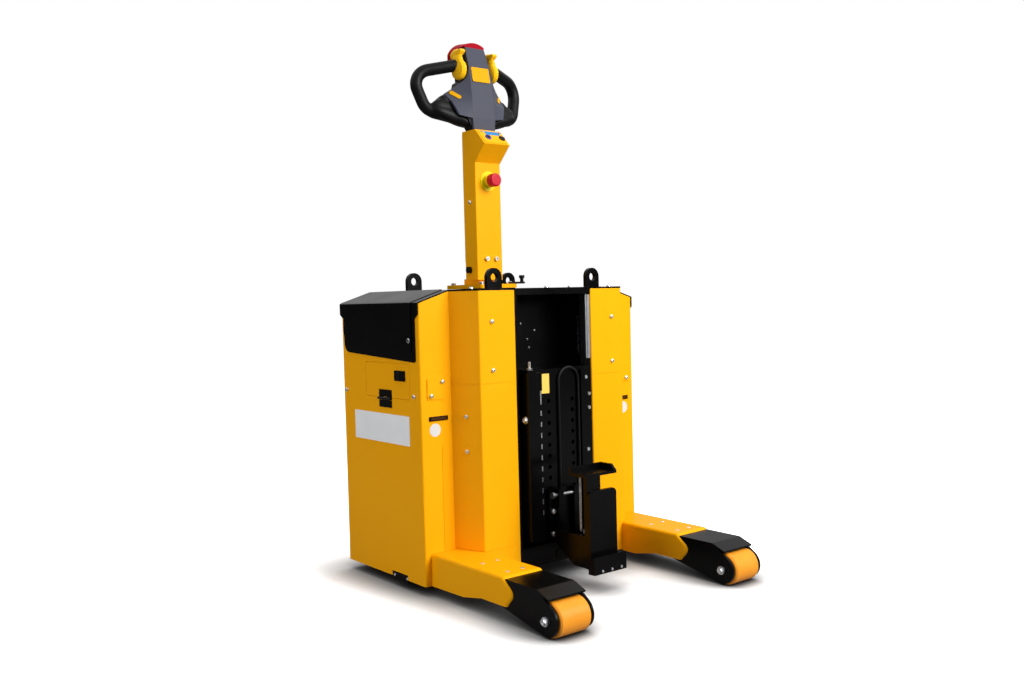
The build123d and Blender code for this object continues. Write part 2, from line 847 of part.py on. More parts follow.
def stop_button():
    """A mushroom cap on a short stem."""
    back = x_pivot + arm_front + stop_disc_thick + stop_collar_length
    neck = back + stop_stem_length
    stem = rod_x(0, z_stop, (back, neck), stop_stem_radius)
    cap = rod_x(0, z_stop, (neck, neck + stop_cap_length), stop_cap_radius)
    rim = cap.edges().group_by(Axis.X)[-1]
    return stem + fillet(rim, stop_cap_rim)


def face_block(back, front):
    """A layer along the face, with a flat middle and sides that fall away behind it."""
    sections = []
    for height, ahead, fall in face_sections:
        x = x_pivot + ahead
        right = [(x + front - fall, -face_wing), (x + front, -face_plateau)]
        left = [(x + front, face_plateau), (x + front - fall, face_wing)]
        inside = [(x - back - fall, face_wing), (x - back, face_plateau),
                  (x - back, -face_plateau), (x - back - fall, -face_wing)]
        plan = make_face(Polyline(*right, *left, *inside, close=True))
        sections.append(Pos(0, 0, z_arm + height) * plan)
    return loft(sections, ruled=True)


def face_window():
    """The face's outline with soft corners, as a block from far behind to far ahead."""
    half = [(y, z_arm + z) for y, z in face_outline]
    points = half + [(-y, z) for y, z in reversed(half)]
    face = make_face(Polyline(*points, close=True))
    corners = [corner for corner in face.vertices() if corner.Y > z_arm + face_corner]
    face = fillet(corners, face_corner)
    return Pos(x_pivot - head_reach, 0, 0) * extrude(Plane.YZ * face, amount=2 * head_reach)


def head_face():
    return face_block(face_thick, 0) & face_window()


def head_housing():
    """A moulded housing behind the face, lofted through a few rounded sections."""
    sections = []
    for height, ahead, behind, half in housing_sections:
        plan = RectangleRounded(ahead - behind, 2 * half, housing_corner)
        sections.append(Pos(x_pivot + (ahead + behind) / 2, 0, z_arm + height) * plan)
    return loft(sections, ruled=True) - face_block(face_thick, head_reach)


def head_buttons():
    """The pad on the face and a small slanted button on each wing."""
    skin = face_block(0, face_skin)
    pad = box((x_pivot - head_reach, x_pivot + head_reach), (-pad_half, pad_half),
              (z_arm + pad_low, z_arm + pad_high))
    pieces = [skin & fillet(pad.edges().filter_by(Axis.X), pad_corner)]
    slot = SlotOverall(wing_button_length, wing_button_width)
    for side in (-1, 1):
        place = Pos(x_pivot, side * wing_button_side, z_arm + wing_button_rise)
        face = place * (Plane.YZ * (Rot(0, 0, side * wing_button_turn) * slot))
        pieces.append(skin & extrude(face, amount=head_reach, both=True))
    return pieces


def grip():
    """A bent tube whose lower end runs into a flared boot behind the face."""
    corners = [(x_pivot + ahead, -out, z_arm + height) for ahead, out, height in grip_corners]
    path = FilletPolyline(*corners, radius=grip_radii)
    start = Plane(path @ 0, z_dir=path % 0)
    tube = sweep(start * Circle(grip_radius), path=path)
    sections = []
    for out, ahead, middle, height in boot_sections:
        corner = min(boot_corner, height / 2 - cut_margin)
        place = Plane((x_pivot + ahead, -out, z_arm + middle), x_dir=(1, 0, 0), z_dir=(0, -1, 0))
        sections.append(place * RectangleRounded(boot_thick, height, corner))
    boot = loft(sections, ruled=True)
    switch = box((x_pivot - head_reach, x_pivot + head_reach), (-thumb_side - thumb_width, 0),
                 (z_arm + thumb_rise - thumb_radius, z_head))
    front = face_block(face_thick, head_reach) & face_window()
    return tube + boot - switch - head_housing() - front


def thumb_wheel():
    """A butterfly switch: a round boss with a hooked finger tip above it."""
    x = x_pivot + thumb_ahead
    z = z_arm + thumb_rise
    y = (-thumb_side - thumb_width, -thumb_side)
    tip = prism_xz([(x + ahead, z + rise) for ahead, rise in thumb_outline], y)
    return rod_y(x, z, y, thumb_radius) + fillet(tip.edges().filter_by(Axis.Y), thumb_corner)


def belly_switch():
    """The red cap over the end of the head, wider at the back than above the face."""
    sections = []
    for ahead, half, foot, side, crown in belly_sections:
        arch = ThreePointArc((half, z_arm + side), (0, z_arm + crown), (-half, z_arm + side))
        sides = Polyline((-half, z_arm + side), (-half, z_arm + foot), (half, z_arm + foot),
                         (half, z_arm + side))
        face = make_face(Wire([arch, *sides.edges()]))
        sections.append(Pos(x_pivot + ahead, 0, 0) * (Plane.YZ * face))
    return loft(sections, ruled=True) - head_housing() - face_block(face_thick, head_reach)


def pin_hole_heights():
    top = z_carriage - pin_hole_drop
    return [top - n * pin_hole_pitch for n in range(pin_hole_count)]


def carriage_box():
    """A front plate with two rows of pin holes, folded side walls, a cap and guide shoes."""
    x_in = x_back + sheet + carriage_back_gap
    x_rail = x_col - rail_front_gap
    z = (carriage_foot, z_carriage)
    half = carriage_half_width
    solid = box((x_mast - carriage_plate, x_mast), (-half, half), z)
    solid += box((x_in, x_mast), (-half, half), (z_carriage, z_carriage + carriage_cap))
    for side in (-1, 1):
        y = sorted((side * (half - carriage_wall), side * half))
        solid += box((x_in, x_mast), y, z)
        shoe = sorted((side * half, side * (rail_face() - touch_gap)))
        for foot in (carriage_foot + shoe_margin, z_carriage - shoe_margin - shoe_height):
            solid += box((x_rail - rail_width, x_rail - shoe_front_gap), shoe, (foot, foot + shoe_height))
        for height in pin_hole_heights():
            solid -= rod_x(side * pin_hole_side, height,
                           (x_mast - carriage_plate - cut_margin, x_mast + cut_margin), pin_hole_radius)
    return solid


def index_strip():
    """A bright strip on the carriage that shows through the notches of its cover."""
    return box((x_mast, x_mast + strip_thick), (-strip_inner - strip_width, -strip_inner),
               (carriage_foot + mast_cover_foot, z_carriage))


def mast_covers():
    """A notched angle over the right edge of the carriage and a plain bar on the left."""
    z = (carriage_foot + mast_cover_foot, z_carriage)
    x_sheet = x_mast + strip_thick
    x_face = x_sheet + mast_cover_sheet
    y_out = -mast_cover_inner - mast_cover_width
    angle = box((x_sheet, x_face), (y_out - mast_cover_sheet, -mast_cover_inner), z)
    angle += box((x_col, x_face), (y_out - mast_cover_sheet, y_out), z)
    y_notch = (-mast_cover_inner - notch_depth, -mast_cover_inner + cut_margin)
    for n, height in enumerate(pin_hole_heights()):
        tall = notch_height if n else first_notch_height
        angle -= box((x_sheet - cut_margin, x_face + cut_margin), y_notch,
                     (height - notch_height / 2, height - notch_height / 2 + tall))
    bar = box((x_mast, x_face), (strip_inner, strip_inner + mast_bar_width), z)
    return [angle, bar]


def lift_cable():
    """A sheathed cable that rises from the coupling pad, bends over and runs down again."""
    z_bend_foot = z_carriage - cable_drop
    right = cable_middle - cable_bend
    left = cable_middle + cable_bend
    arch = ThreePointArc((right, z_bend_foot), (cable_middle, z_bend_foot + cable_bend),
                         (left, z_bend_foot))
    route = Wire([Line((right, z_pad), arch @ 0), arch, Line(arch @ 1, (left, z_pad))])
    path = Pos(x_mast + cable_radius + touch_gap, 0, 0) * (Plane.YZ * route)
    return sweep(Plane(path @ 0, z_dir=path % 0) * Circle(cable_radius), path=path)


def rail_face():
    """How far from the middle the inner faces of the guide rails lie."""
    return column_inner - liner - rail_thick


def guide_rail():
    x = (x_col - rail_front_gap - rail_width, x_col - rail_front_gap)
    return box(x, (-column_inner + liner, -rail_face()), (rail_foot, z_deck_under - rail_head_gap))


def coupling_arm():
    """A pad with two upright ribs, and two gussets out to the foot of a thin post."""
    x_front = x_col + coupling_reach - coupling_plate_thick
    x_foot = x_front - arm_foot
    arm = box((x_mast, x_pad), (-pad_half_width, pad_half_width), (carriage_foot, z_pad))
    side = [
        (x_pad, carriage_foot),
        (x_foot, gusset_foot),
        (x_front, gusset_foot),
        (x_front, gusset_head),
        (x_foot, gusset_head),
        (x_pad, carriage_foot + gusset_root),
    ]
    for hand in (-1, 1):
        y = sorted((hand * (arm_half_width - arm_plate), hand * arm_half_width))
        arm += prism_xz(side, y)
        y = sorted((hand * rib_inner, hand * (rib_inner + rib_width)))
        arm += box((x_pad, x_pad + rib_depth), y, (carriage_foot + rib_rise, z_pad))
    arm += box((x_foot, x_front), (-arm_half_width, arm_half_width),
               (gusset_foot, gusset_foot + arm_plate))
    arm += box((x_front - post_depth, x_front),
               (-coupling_plate_half, -coupling_plate_half + post_width), (gusset_foot, z_post))
    reach = (-pad_half_width, pad_half_width)
    return arm - rod_y(x_pad + rib_depth / 2, z_pad - adjust_pin_drop, reach,
                       adjust_pin_radius + running_gap)


def coupling_plate():
    x = (x_col + coupling_reach - coupling_plate_thick, x_col + coupling_reach)
    plate = box(x, (-coupling_plate_half, coupling_plate_half), (nose_bottom, coupling_plate_top))
    corners = plate.edges().filter_by(Axis.X).group_by(Axis.Z)[-1]
    return fillet(corners, coupling_plate_corner)


def coupling_nose():
    x = x_col + coupling_reach
    return prism_xz([
        (x, nose_bottom), (x + nose_depth, nose_bottom), (x + nose_depth, nose_top),
        (x, nose_top - nose_slope),
    ], (-nose_half_width, nose_half_width))


def coupling_shelf():
    """A small tray on the post with a folded rear edge and one raised side."""
    x_front = x_col + coupling_reach - coupling_plate_thick
    x = (x_front - arm_foot, x_front - arm_foot + shelf_depth)
    z = (z_post, z_post + shelf_thick)
    tray = box(x, (-shelf_half_width, shelf_half_width), z)
    tray += box((x[0], x[0] + shelf_thick), (-shelf_half_width, shelf_half_width),
                (z[1], z[1] + shelf_lip))
    lip = prism_xz([(x[0], z[1]), (x[1], z[1]), (x[1] - shelf_lip, z[1] + shelf_lip),
                    (x[0], z[1] + shelf_lip)], (shelf_half_width - shelf_thick, shelf_half_width))
    return tray + lip


def adjusting_pin():
    """A plain pin through both ribs, with a head at its right end."""
    x = x_pad + rib_depth / 2
    z = z_pad - adjust_pin_drop
    reach = rib_inner + rib_width + adjust_pin_proud
    pin = rod_y(x, z, (-reach, reach), adjust_pin_radius)
    return pin + rod_y(x, z, (-reach - adjust_pin_head, -reach), adjust_pin_radius + adjust_pin_collar)


def deck():
    """The black plate over the body, with a lip across the recess."""
    plan = [(x_rear, -pod_inner), (x_pod, -pod_inner), (x_col, -column_outer),
            (x_col, column_outer), (x_pod, pod_inner), (x_rear, pod_inner)]
    plate = prism_xy(plan, (z_deck_under, deck_top))
    plate += box((x_col - sheet, x_col), (-column_inner, column_inner),
                 (z_deck_under - deck_lip, z_deck_under))
    return plate - rod_z(x_steer, 0, (z_deck_under - cut_margin, deck_top + cut_margin),
                         deck_hole_radius)


def rear_panel():
    return box((x_rear, x_rear + sheet), (-pod_inner, pod_inner), (centre_floor, z_deck_under))


def recess_panel():
    """The black lining of the recess: a back wall and a thin folded sheet on each side."""
    x_front = x_col - sheet
    panel = box((x_back, x_back + sheet), (-column_inner, column_inner),
                (centre_floor + floor_plate, z_deck_under))
    for side in (-1, 1):
        y = sorted((side * (column_inner - liner), side * column_inner))
        panel += box((x_back + sheet, x_front), y, (beam_top, z_deck_under))
        y = sorted((side * (column_inner - liner - liner_return), side * (column_inner - liner)))
        panel += box((x_front - liner, x_front), y, (beam_top, z_deck_under))
    return panel


def skid():
    return box((x_pod - skid_front - skid_length, x_pod - skid_front),
               (-pod_half_width, -pod_half_width + skid_depth), (skid_bottom, skid_top))


def battery():
    """A plain block between the ends of the pod, standing on the skid."""
    ends = sheet + battery_end_gap
    return box((x_rear + ends, x_pod - ends),
               (-pod_half_width + sheet + battery_gap, -pod_inner - sheet - battery_gap),
               (skid_top, skid_top + battery_height))


def service_plate():
    low = -pod_half_width + service_plate_edge
    return box((x_pod, x_pod + fitting_proud), (low, low + service_plate_width),
               (service_plate_foot, service_plate_foot + service_plate_height))


def pull_slot():
    low = -pod_half_width + pull_edge
    return box((x_pod, x_pod + fitting_proud), (low, low + pull_width),
               (pull_foot, pull_foot + pull_height))


def lifting_eyes():
    x_front = x_col - eye_front_back
    return [lifting_eye(x, side * eye_half_track)
            for x in (x_front, x_front - eye_spacing) for side in (-1, 1)]


def main():
    os.makedirs("parts", exist_ok=True)
    # Pieces that come as a right and a left one, each in a node of its own
    handed = [("leg", leg()), ("column", column()), ("pod", pod()), ("cover", pod_cover()),
              ("flap", flap()), ("roller", roller())]
    for name, shape in handed:
        save(name + "_right", shape)
        save(name + "_left", other_side(shape))
    fittings = flap_fittings()
    save("flap_fittings_right", *fittings)
    save("flap_fittings_left", *[other_side(shape) for shape in fittings])
    # Pieces whose right and left copies share one node
    paired = [("roller_brackets", roller_bracket()), ("roller_axles", roller_axle()),
              ("flap_hinges", flap_hinge()), ("guide_rails", guide_rail()), ("skids", skid()),
              ("batteries", battery()), ("service_plates", service_plate()),
              ("pull_slots", pull_slot()), ("grips", grip()), ("thumb_wheels", thumb_wheel())]
    for name, shape in paired:
        save(name, shape, other_side(shape))
    # Single pieces
    single = [("base_frame", base_frame()), ("slewing_ring", slewing_ring()),
              ("drive_fork", drive_fork()), ("drive_motor", drive_motor()),
              ("drive_hub", drive_hub()), ("drive_tyre", drive_tyre()),
              ("steering_column", steering_column()), ("tiller_bracket", tiller_bracket()),
              ("index_plunger", index_plunger()), ("tiller_arm", tiller_arm()),
              ("arm_cover", arm_cover()), ("pivot_pin", pivot_pin()), ("stop_disc", stop_disc()),
              ("stop_button", stop_button()), ("head_face", head_face()),
              ("head_housing", head_housing()), ("belly_switch", belly_switch()),
              ("carriage_box", carriage_box()), ("index_strip", index_strip()),
              ("lift_cable", lift_cable()), ("coupling_arm", coupling_arm()),
              ("coupling_plate", coupling_plate()), ("coupling_nose", coupling_nose()),
              ("coupling_shelf", coupling_shelf()), ("adjusting_pin", adjusting_pin()),
              ("deck", deck()), ("rear_panel", rear_panel()), ("recess_panel", recess_panel())]
    for name, shape in single:
        save(name, shape)
    save("lifting_eyes", *lifting_eyes())
    save("head_buttons", *head_buttons())
    save("mast_covers", *mast_covers())


main()
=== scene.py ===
# %% [markdown]
# A pedestrian tow tractor: a folded steel body under powder coat, a tiller with a moulded head,
# and a black carriage with a coupling between two legs on rollers. The solids come ready from
# CAD and stay where they are. This lesson gives them their finishes, adds the small pieces that
# the solids leave out, and sets up a plain studio with a camera at the photograph's angle.

# %% Load the fixed frame
import json
import math

import bmesh
import bpy
from mathutils import Matrix, Vector


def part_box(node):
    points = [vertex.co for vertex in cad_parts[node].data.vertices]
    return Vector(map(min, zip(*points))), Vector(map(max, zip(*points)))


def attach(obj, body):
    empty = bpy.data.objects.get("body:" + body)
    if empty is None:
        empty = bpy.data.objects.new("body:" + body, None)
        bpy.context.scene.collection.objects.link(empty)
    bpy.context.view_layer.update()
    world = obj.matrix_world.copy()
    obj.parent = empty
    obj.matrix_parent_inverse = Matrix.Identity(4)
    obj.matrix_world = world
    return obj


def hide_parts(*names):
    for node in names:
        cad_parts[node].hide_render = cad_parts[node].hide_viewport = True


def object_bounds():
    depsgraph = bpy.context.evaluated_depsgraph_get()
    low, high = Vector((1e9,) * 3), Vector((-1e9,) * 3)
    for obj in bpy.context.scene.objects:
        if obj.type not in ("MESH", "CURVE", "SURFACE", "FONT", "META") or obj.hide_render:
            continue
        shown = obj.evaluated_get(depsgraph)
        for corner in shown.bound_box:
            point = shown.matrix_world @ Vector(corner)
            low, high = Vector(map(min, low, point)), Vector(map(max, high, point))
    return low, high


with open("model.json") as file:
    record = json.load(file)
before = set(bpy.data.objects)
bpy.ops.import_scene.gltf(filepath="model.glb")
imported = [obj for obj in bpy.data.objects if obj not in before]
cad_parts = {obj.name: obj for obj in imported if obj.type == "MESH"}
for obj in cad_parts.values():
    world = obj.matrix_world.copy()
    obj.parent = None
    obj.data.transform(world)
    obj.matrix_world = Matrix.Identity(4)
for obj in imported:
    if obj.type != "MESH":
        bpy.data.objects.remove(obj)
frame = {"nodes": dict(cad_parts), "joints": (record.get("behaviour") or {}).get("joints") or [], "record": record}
cad_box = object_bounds()
nodes = frame["nodes"]

# %% [markdown]
# A camera is easiest to match when it is set the way a photographer sets one: walk round to an
# angle, raise it, choose a distance, aim it, then tilt it a little about its own axis. The
# photograph was taken from the front right, barely above the middle of the machine.

# %% Camera at the photograph's angle
azimuth = math.radians(51.463)
elevation = math.radians(2.4785)
roll = math.radians(-1.4785)
distance = 2.98028
target = Vector((-0.15516, 0.0022, 0.6699))
focal_length_mm = 34.94
sensor_width_mm = 36.0

back = Vector((math.sin(azimuth) * math.cos(elevation), -math.cos(azimuth) * math.cos(elevation),
               math.sin(elevation)))
level_right = Vector((math.cos(azimuth), math.sin(azimuth), 0))
level_up = back.cross(level_right)
right = math.cos(roll) * level_right + math.sin(roll) * level_up
up = back.cross(right)

camera = bpy.data.objects.new("camera", bpy.data.cameras.new("camera"))
camera.data.lens = focal_length_mm
camera.data.sensor_width = sensor_width_mm
camera_axes = Matrix((right, up, back)).transposed().to_4x4()
camera.matrix_world = Matrix.Translation(target + distance * back) @ camera_axes
bpy.context.collection.objects.link(camera)
bpy.context.scene.camera = camera
print("camera at", tuple(round(v, 3) for v in camera.matrix_world.translation))

# %% [markdown]
# Colours are written as the sRGB hex values that a paint chart or a photograph shows, and turned
# to the linear values that Blender's sockets expect. One small function adds a node, sets it up
# and links it, so a material reads as a list of what it is made of.

# %% Colour and node helpers
def linear(code):
    """An sRGB hex colour as linear red, green, blue and alpha."""
    parts = [int(code[i:i + 2], 16) / 255 for i in (1, 3, 5)]
    return [c / 12.92 if c <= 0.04045 else ((c + 0.055) / 1.055) ** 2.4 for c in parts] + [1.0]


def add_node(tree, kind, inputs=None, **settings):
    """Add a node, set it, and fill its inputs with values or with links from other sockets."""
    node = tree.nodes.new(kind)
    for name, value in settings.items():
        setattr(node, name, value)
    for name, value in (inputs or {}).items():
        if isinstance(value, bpy.types.NodeSocket):
            tree.links.new(value, node.inputs[name])
        else:
            node.inputs[name].default_value = value
    return node


def mixed(tree, share, first, second):
    """A colour between two. A Mix node has its colours in inputs 6 and 7, and its result in output 2."""
    return add_node(tree, "ShaderNodeMix", {0: share, 6: first, 7: second}, data_type="RGBA").outputs[2]


def remapped(tree, value, source, result, **settings):
    """A number carried from one range to another."""
    inputs = {"Value": value, "From Min": source[0], "From Max": source[1],
              "To Min": result[0], "To Max": result[1]}
    return add_node(tree, "ShaderNodeMapRange", inputs, **settings).outputs[0]


def per_metre(size_mm):
    """The texture scale whose features are about this size."""
    return 1000 / size_mm


# %% [markdown]
# Most surfaces here are one colour with life in it: the tone drifts a little over the sheet, the
# gloss is uneven, and the skin has a fine texture, the orange peel of powder coat or the grain
# of a mould. All three come from noise on Object coordinates, each at its own real size.

# %% A finish with drifting tone, uneven gloss and a grained skin
finishes = {}
usual_noise = (0.3, 0.7)
bump_strength = 0.5


def grained_finish(name, light, dark, drift_mm, gloss, grain_mm, grain_height_mm, specular=0.5):
    """Tone between two colours, roughness between two values, and grain of a given size and height."""
    finish = bpy.data.materials.new(name)
    finish.use_nodes = True
    tree = finish.node_tree
    shader = tree.nodes["Principled BSDF"]
    shader.inputs["Specular IOR Level"].default_value = specular
    place = add_node(tree, "ShaderNodeTexCoord").outputs["Object"]
    drift = add_node(tree, "ShaderNodeTexNoise",
                     {"Vector": place, "Scale": per_metre(drift_mm), "Detail": 3.0}).outputs[0]
    tone = mixed(tree, drift, linear(dark), linear(light))
    tree.links.new(tone, shader.inputs["Base Color"])
    tree.links.new(remapped(tree, drift, usual_noise, gloss), shader.inputs["Roughness"])
    grain = add_node(tree, "ShaderNodeTexNoise",
                     {"Vector": place, "Scale": per_metre(grain_mm), "Detail": 2.0}).outputs[0]
    skin = add_node(tree, "ShaderNodeBump",
                    {"Height": grain, "Strength": bump_strength, "Distance": grain_height_mm / 1000})
    tree.links.new(skin.outputs[0], shader.inputs["Normal"])
    finishes[name] = finish
    print("finish", name)
    return shader


# %% [markdown]
# The yellow is a polyester powder coat baked on steel sheet: semi-gloss, with a soft orange peel
# that only shows where a light is mirrored. The black is a smoother coat that mirrors little, so
# upright sheets stay dark and only what leans back to the light takes a grey sheen.

# %% Powder coats
grained_finish("yellow_powder_coat", "#FBAF0B", "#F6A908", drift_mm=180, gloss=(0.3, 0.38),
               grain_mm=3.0, grain_height_mm=0.03, specular=0.06)
grained_finish("black_powder_coat", "#060607", "#040404", drift_mm=120, gloss=(0.2, 0.28),
               grain_mm=1.6, grain_height_mm=0.015, specular=0.11)

# %% [markdown]
# Tiller heads are injection moulded. The grips, the housing and the dark grey face have a matt
# spark-eroded grain, and the switch pieces are brighter so that they are easy to find. Printed
# film, a battery's case and dull zinc differ from them only in colour, gloss and grain, and so
# does a dark brown that paints the shade inside the pod pulls.

# %% Mouldings and films
mould_drift_mm = 60
mould_grain_mm = 1.3
moulded = [
    # name, light and dark tone, gloss, specular level, height of the grain
    ("black_moulding", "#0C0C0D", "#09090A", (0.4, 0.48), 0.15, 0.005),
    ("grey_moulding", "#484A56", "#42444F", (0.42, 0.5), 0.13, 0.005),
    ("red_moulding", "#C8142A", "#BC1026", (0.3, 0.38), 0.2, 0.003),
    ("deep_red_moulding", "#A60A1E", "#9A081A", (0.4, 0.48), 0.03, 0.003),
    ("yellow_moulding", "#FFC41A", "#FABC14", (0.36, 0.44), 0.1, 0.002),
    ("amber_moulding", "#E2A40A", "#DA9C08", (0.36, 0.44), 0.06, 0.002),
    ("lemon_moulding", "#EFDB0C", "#E8D208", (0.36, 0.44), 0.15, 0.002),
    ("battery_case", "#242527", "#1D1E20", (0.5, 0.6), 0.3, 0.02),
    ("satin_aluminium_film", "#FAFBFC", "#EEF0F2", (0.4, 0.5), 0.3, 0.003),
    ("white_film", "#DADAD8", "#D2D2D0", (0.4, 0.5), 0.2, 0.003),
    ("pale_yellow_film", "#F2CF62", "#EAC456", (0.4, 0.5), 0.2, 0.003),
    ("blue_film", "#2A86C4", "#2078B6", (0.3, 0.4), 0.2, 0.003),
    ("violet_film", "#5B4AA8", "#4E3E9A", (0.3, 0.4), 0.2, 0.003),
    ("galvanised_links", "#C8CACC", "#ACAEB1", (0.4, 0.5), 0.3, 0.003),
    # a dark brown that paints the shade inside the pulls, not a coat of its own
    ("painted_shade_brown", "#4A2A08", "#3A2006", (0.5, 0.6), 0.1, 0.02),
]
for name, light, dark, gloss, specular, height in moulded:
    grained_finish(name, light, dark, mould_drift_mm, gloss, mould_grain_mm, height, specular)

# %% [markdown]
# Load rollers and the drive tyre are cast polyurethane, a tough amber rubber that light enters a
# little before it comes back, so its edges look paler and softer than paint would.

# %% Polyurethane
rubber = grained_finish("orange_polyurethane", "#F09E2C", "#EA9022", drift_mm=50, gloss=(0.4, 0.5),
                        grain_mm=2.0, grain_height_mm=0.015, specular=0.2)
rubber.inputs["Subsurface Weight"].default_value = 0.2
rubber.inputs["Subsurface Radius"].default_value = (0.006, 0.003, 0.001)
rubber.inputs["Subsurface Scale"].default_value = 1.0

# %% [markdown]
# Bare metal: the guide rails are drawn steel, the screws are zinc plated or blackened, and the
# motor and hub are castings with a rough grey skin.

# %% Metals
metals = [
    # name, light and dark tone, gloss
    ("bright_steel", "#A6A8AB", "#96989B", (0.36, 0.44)),
    ("zinc_plating", "#EEF0F2", "#D2D5D8", (0.24, 0.34)),
    ("blackened_steel", "#727276", "#5A5A5E", (0.24, 0.32)),
]
for name, light, dark, gloss in metals:
    metal = grained_finish(name, light, dark, drift_mm=12, gloss=gloss, grain_mm=3.0, grain_height_mm=0.005)
    metal.inputs["Metallic"].default_value = 1.0
grained_finish("cast_metal", "#48494B", "#3C3D3F", drift_mm=40, gloss=(0.5, 0.62),
               grain_mm=2.5, grain_height_mm=0.12)

# %% [markdown]
# Each solid already knows its finish by name, because the part's record lists a material slot
# for every node. The objects keep their meshes, and only their material slots change. Three
# small mouldings have a shade of their own.

# %% Dress the CAD nodes
own_shades = {"stop_disc": "lemon_moulding", "belly_switch": "deep_red_moulding",
              "head_buttons": "amber_moulding"}
for part in frame["record"]["subparts"]:
    mesh = nodes[part["node"]].data
    mesh.materials.clear()
    mesh.materials.append(finishes[own_shades.get(part["node"], part["material_slot"])])

# %% [markdown]
# Small pieces are made as a workshop makes them: a screw is a profile turned about its axis, a
# label is a sheet with round corners. Each is drawn once and stamped wherever it occurs, standing
# on a face and looking outward. All that share a finish and a body become one mesh.

# %% Turned and cut pieces
mm = 0.001
ahead = (1, 0, 0)
astern = (-1, 0, 0)
leftward = (0, 1, 0)
rightward = (0, -1, 0)
upward = (0, 0, 1)
nearly_upright = 0.99
merge_mm = 0.001
same_radius_mm = 0.01
edge_break = 0.3
corner_steps = 4
crease = math.radians(32)


def facing(place, out):
    """A frame standing at a place in millimetres, its Z outward and its Y as near upright as can be."""
    z = Vector(out).normalized()
    x = (Vector(ahead) if abs(z.z) > nearly_upright else Vector(upward).cross(z)).normalized()
    axes = Matrix((x, z.cross(x), z)).transposed().to_4x4()
    return Matrix.Translation(Vector(place) * mm) @ axes


def turned(profile, steps=24, hexed=()):
    """A mesh spun about Z from radius and height pairs; the radii in hexed become hexagons."""
    bm = bmesh.new()
    verts = [bm.verts.new((radius * mm, 0, height * mm)) for radius, height in profile]
    edges = [bm.edges.new(pair) for pair in zip(verts, verts[1:])]
    bmesh.ops.spin(bm, geom=verts + edges, cent=(0, 0, 0), axis=(0, 0, 1), angle=2 * math.pi,
                   steps=steps, use_merge=True)
    bmesh.ops.remove_doubles(bm, verts=bm.verts, dist=merge_mm * mm)
    for vert in bm.verts:
        if any(abs(vert.co.xy.length - radius * mm) < same_radius_mm * mm for radius in hexed):
            corner = math.radians(60)
            swing = math.atan2(vert.co.y, vert.co.x) % corner - corner / 2
            vert.co.xy *= math.cos(corner / 2) / math.cos(swing)
    bmesh.ops.recalc_face_normals(bm, faces=bm.faces)
    mesh = bpy.data.meshes.new("turned")
    bm.to_mesh(mesh)
    bm.free()
    return mesh


def sheet(bm, width, height, thick, corner, place, out):
    """Add a flat sheet with round corners, lying on a face with its front edge broken."""
    stand = facing(place, out)
    broken = min(edge_break, thick / 2)
    rims = []
    for lift, inset in ((0, 0), (thick - broken, 0), (thick, broken)):
        rim = []
        for quarter, (to_right, to_top) in enumerate(((1, 1), (-1, 1), (-1, -1), (1, -1))):
            for step in range(corner_steps + 1):
                angle = math.radians(90) * (quarter + step / corner_steps)
                x = to_right * (width / 2 - corner) + (corner - inset) * math.cos(angle)
                y = to_top * (height / 2 - corner) + (corner - inset) * math.sin(angle)
                rim.append(bm.verts.new(stand @ (Vector((x, y, lift)) * mm)))
        rims.append(rim)
    for lower, upper in zip(rims, rims[1:]):
        for i in range(len(lower)):
            bm.faces.new((lower[i - 1], lower[i], upper[i], upper[i - 1]))
    bm.faces.new(rims[-1])
    bm.faces.new(list(reversed(rims[0])))


def piece(name, bm, body, finish):
    """Turn finished geometry into an object with a finish, riding on a body."""
    mesh = bpy.data.meshes.new(name)
    bm.to_mesh(mesh)
    bm.free()
    mesh.shade_smooth()
    mesh.set_sharp_from_angle(angle=crease)
    mesh.materials.append(finishes[finish])
    made = bpy.data.objects.new(name, mesh)
    bpy.context.collection.objects.link(made)
    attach(made, body)
    print("piece", name, len(mesh.polygons), "faces")
    return made


def stamp(bm, kind, place, out):
    """Add a copy of a kind, standing at a place in millimetres and looking outward."""
    first = len(bm.verts)
    bm.from_mesh(kind)
    bm.verts.ensure_lookup_table()
    bmesh.ops.transform(bm, matrix=facing(place, out), verts=bm.verts[first:])


def stamped(name, body, finish, singles=(), pairs=()):
    """A piece of stamped kinds, each with a place and an outlook; pairs are mirrored from the left side."""
    bm = bmesh.new()
    for kind, place, out in singles:
        stamp(bm, kind, place, out)
    for kind, (along, across, height), out in pairs:
        for side in (-1, 1):
            stamp(bm, kind, (along, side * across, height), (out[0], side * out[1], out[2]))
    piece(name, bm, body, finish)


# %% [markdown]
# Where things stand comes from the frame: the faces of the body are read from the boxes of the
# CAD nodes, and the small pieces are laid out on them from their measured places.

# %% Faces of the body, in millimetres
def low_face(node, axis):
    """The lowest place of a node along an axis."""
    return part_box(node)[0]["xyz".index(axis)] / mm


def high_face(node, axis):
    """The highest place of a node along an axis."""
    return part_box(node)[1]["xyz".index(axis)] / mm


liner_sheet = 4.0
pod_front = high_face("pod_right", "x")
pod_side = high_face("pod_left", "y")
column_front = high_face("column_right", "x")
deck_face = high_face("deck", "z")
leg_face = high_face("leg_right", "z")
leg_inner = low_face("leg_left", "y")
cover_side = high_face("cover_left", "y")
plate_front = high_face("service_plates", "x")
recess_back = low_face("recess_panel", "x") + liner_sheet
recess_front = high_face("recess_panel", "x")
mast_front = high_face("carriage_box", "x")
mast_side = low_face("mast_covers", "y")
mast_cap = high_face("carriage_box", "z")
pad_front = low_face("adjusting_pin", "x")
nose_front = high_face("coupling_nose", "x")
arm_side = high_face("tiller_arm", "y")
arm_front = low_face("stop_disc", "x")
arm_back = low_face("arm_cover", "x")
box_front = high_face("tiller_arm", "x")
base_top = low_face("tiller_bracket", "z")
axle_end = high_face("roller_axles", "y")
axle_along = (low_face("roller_axles", "x") + high_face("roller_axles", "x")) / 2
axle_height = (low_face("roller_axles", "z") + high_face("roller_axles", "z")) / 2
print("pod front", round(pod_front, 2), "column front", round(column_front, 2))

